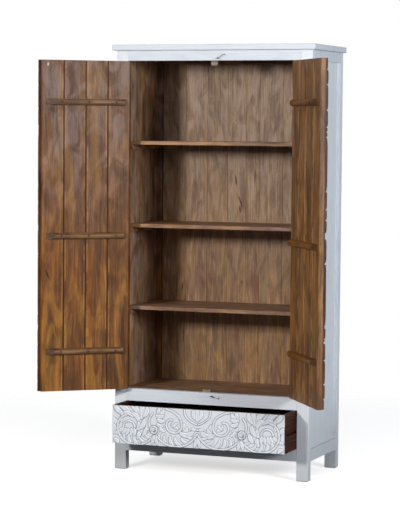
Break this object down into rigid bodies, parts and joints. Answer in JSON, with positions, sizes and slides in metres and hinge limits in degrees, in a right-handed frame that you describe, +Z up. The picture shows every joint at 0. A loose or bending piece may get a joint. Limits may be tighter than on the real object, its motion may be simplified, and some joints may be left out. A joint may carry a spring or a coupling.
{
  "type": "two-door cabinet",
  "caption": "Tall framed wooden cabinet with two hinged plank doors carved outside, open shelves inside, hooks to hold the doors and a carved drawer below",
  "frame": {"origin": "on the floor midway between the four posts", "axes": "+X to the right seen from the front, +Y to the back, +Z up"},
  "size_m": [1.2778, 0.7489, 1.8],
  "materials": {
    "whitewash": "rubbed white wash, matt",
    "carved_whitewash": "carved, rubbed white wash over brown, matt",
    "brown_wood": "waxed, worn",
    "pale_wood": "bare",
    "dark_iron": "blackened, dull"
  },
  "bodies": {
    "case": {"back_boards": "brown_wood", "bottom_rail_back": "whitewash", "bottom_rail_front": "whitewash", "cupboard_floor": "brown_wood", "door_stop_bottom": "pale_wood", "door_stop_top": "pale_wood", "drawer_runner_left": "brown_wood", "drawer_runner_right": "brown_wood", "hinge_pins_left": "dark_iron", "hinge_pins_right": "dark_iron", "hinge_post_leaves_left": "dark_iron", "hinge_post_leaves_right": "dark_iron", "hook_eye_bottom": "dark_iron", "hook_eye_top": "dark_iron", "post_back_left": "whitewash", "post_back_right": "whitewash", "post_front_left": "whitewash", "post_front_right": "whitewash", "shelf_bearers_left": "brown_wood", "shelf_bearers_right": "brown_wood", "shelf_lower": "brown_wood", "shelf_middle": "brown_wood", "shelf_upper": "brown_wood", "side_bottom_rail_left": "whitewash", "side_bottom_rail_right": "whitewash", "side_panel_left": "whitewash", "side_panel_right": "whitewash", "side_top_rail_left": "whitewash", "side_top_rail_right": "whitewash", "sill_rail": "whitewash", "top_board": "whitewash", "top_rail_back": "whitewash", "top_rail_front": "whitewash"},
    "door_left": {"batten_bottom_left": "brown_wood", "batten_middle_left": "brown_wood", "batten_top_left": "brown_wood", "carved_panel_left": "carved_whitewash", "catch_eyes_left": "dark_iron", "door_boards_left": "brown_wood", "door_screws_left": "dark_iron", "hinge_door_leaves_left": "dark_iron"},
    "door_right": {"batten_bottom_right": "brown_wood", "batten_middle_right": "brown_wood", "batten_top_right": "brown_wood", "carved_panel_right": "carved_whitewash", "door_boards_right": "brown_wood", "door_screws_right": "dark_iron", "hinge_door_leaves_right": "dark_iron"},
    "drawer": {"drawer_back": "brown_wood", "drawer_bottom": "brown_wood", "drawer_front": "carved_whitewash", "drawer_knobs": "carved_whitewash", "drawer_side_left": "brown_wood", "drawer_side_right": "brown_wood"},
    "hook_top": {"hook_top": "dark_iron"},
    "hook_bottom": {"hook_bottom": "dark_iron"}
  },
  "joints": [
    {"name": "door_left_hinge", "type": "hinge", "parent": "case", "child": "door_left", "pos_m": [-0.381, -0.213, 1.04], "axis": [0, 0, 1], "range_deg": [-30, 140.3]},
    {"name": "door_right_hinge", "type": "hinge", "parent": "case", "child": "door_right", "pos_m": [0.381, -0.213, 1.04], "axis": [0, 0, 1], "range_deg": [-125.7, 44]},
    {"name": "drawer_slide", "type": "slide", "parent": "case", "child": "drawer", "axis": [0, -1, 0], "range_m": [-0.15, 0.14]},
    {"name": "hook_top_swing", "type": "hinge", "parent": "case", "child": "hook_top", "pos_m": [0.024, -0.219, 1.742], "axis": [0, -1, 0], "range_deg": [-169, 20]},
    {"name": "hook_bottom_swing", "type": "hinge", "parent": "case", "child": "hook_bottom", "pos_m": [0.012, -0.219, 0.334], "axis": [0, -1, 0], "range_deg": [-74, 144]}
  ]
}
